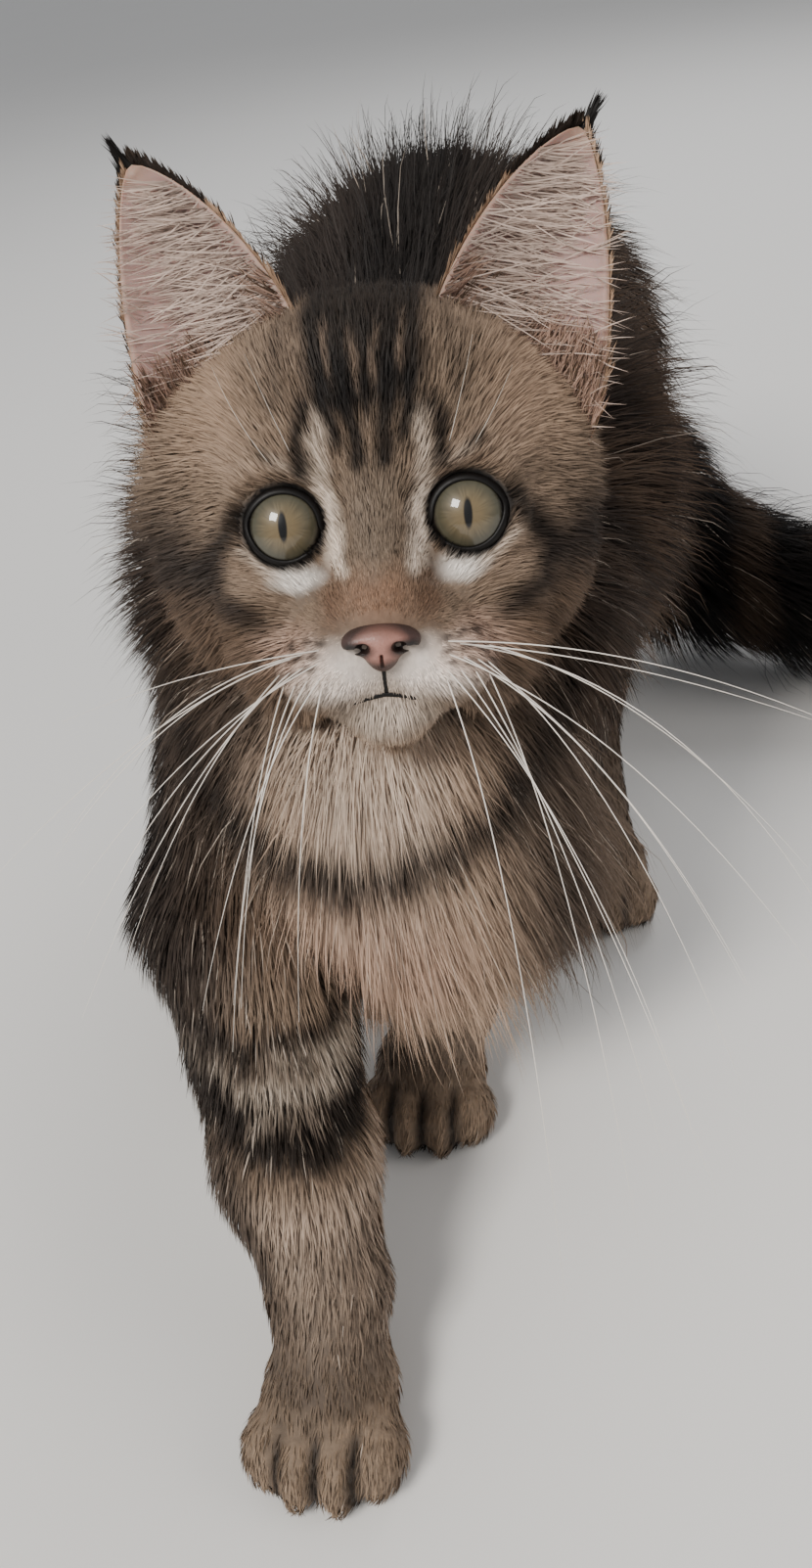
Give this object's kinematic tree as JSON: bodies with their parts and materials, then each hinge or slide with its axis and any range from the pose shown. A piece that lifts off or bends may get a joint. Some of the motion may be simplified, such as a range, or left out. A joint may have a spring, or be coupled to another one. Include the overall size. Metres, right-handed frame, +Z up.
{
  "type": "maine coon kitten",
  "caption": "Life-size still model of a long-haired tabby kitten with large tufted ears, walking forward with its head raised and its tail laid down to one side.",
  "frame": {"origin": "on the floor under the middle of the bounding box", "axes": "+Z up; the kitten walks and looks towards -Y, so +Y runs back along its body; +X is towards its left, where the tail lies"},
  "size_m": [0.2904, 0.3748, 0.2258],
  "materials": {
    "coat_buff": "soft long fur, buff and brown with dark tabby bands",
    "coat_brown": "long loose fur, dark brown",
    "coat_dark": "long loose fur, near black",
    "ear": "bare pinkish skin with fine pale hairs",
    "eye": "clear and wet, hazel green",
    "nose_leather": "satin, fine grain"
  },
  "bodies": {
    "root": {"torso": "coat_brown", "neck": "coat_buff", "forepaw_right": "coat_buff", "forepaw_left": "coat_buff", "hindpaw_left": "coat_buff", "hindpaw_right": "coat_buff", "foreleg_right": "coat_buff", "foreleg_left": "coat_buff", "thigh_left": "coat_brown", "thigh_right": "coat_brown", "shank_left": "coat_buff", "shank_right": "coat_buff", "tail_base": "coat_dark", "tail_middle": "coat_dark", "tail_tip": "coat_dark", "head": "coat_buff", "ear_left": "ear", "eye_left": "eye", "ear_right": "ear", "eye_right": "eye", "nose": "nose_leather"}
  },
  "joints": []
}
